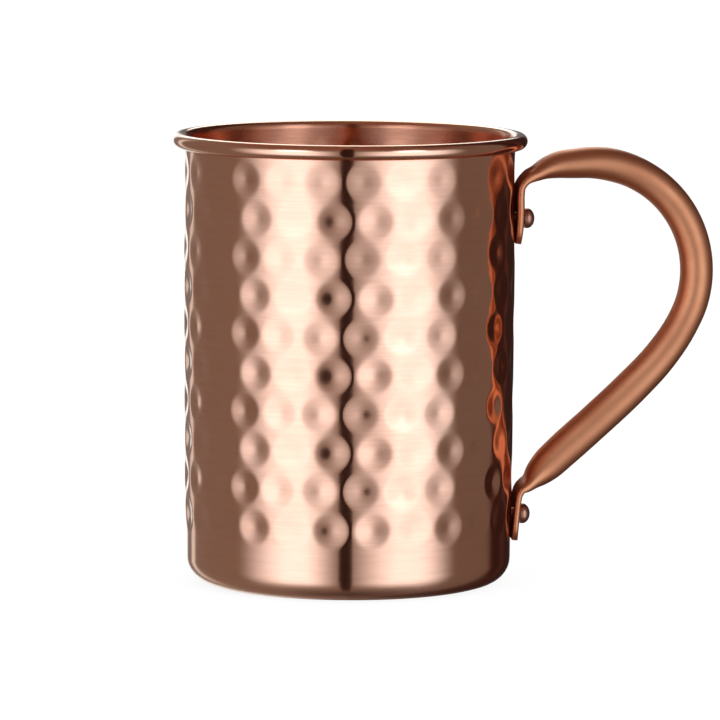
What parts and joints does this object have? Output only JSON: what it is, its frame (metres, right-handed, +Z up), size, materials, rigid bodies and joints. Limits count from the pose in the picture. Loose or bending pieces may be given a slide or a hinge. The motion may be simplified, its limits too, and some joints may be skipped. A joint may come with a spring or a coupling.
{
  "type": "copper mug",
  "caption": "Straight hammered copper mug with a rolled rim and a bowed tube handle, flattened at its ends and riveted to the wall.",
  "frame": {"origin": "centre of the cup's flat underside, on the cup's axis", "axes": "+Z up along the cup's axis, +X towards the handle, whose centre line lies in the XZ plane, +Y across"},
  "size_m": [0.1316, 0.086, 0.109],
  "materials": {
    "polished_copper": "polished, finely brushed round the cup, hammered in staggered rows",
    "satin_copper": "satin",
    "rivet_copper": "satin, slightly darkened"
  },
  "bodies": {
    "root": {"cup": "polished_copper", "handle": "satin_copper", "upper_rivet": "rivet_copper", "lower_rivet": "rivet_copper"}
  },
  "joints": []
}
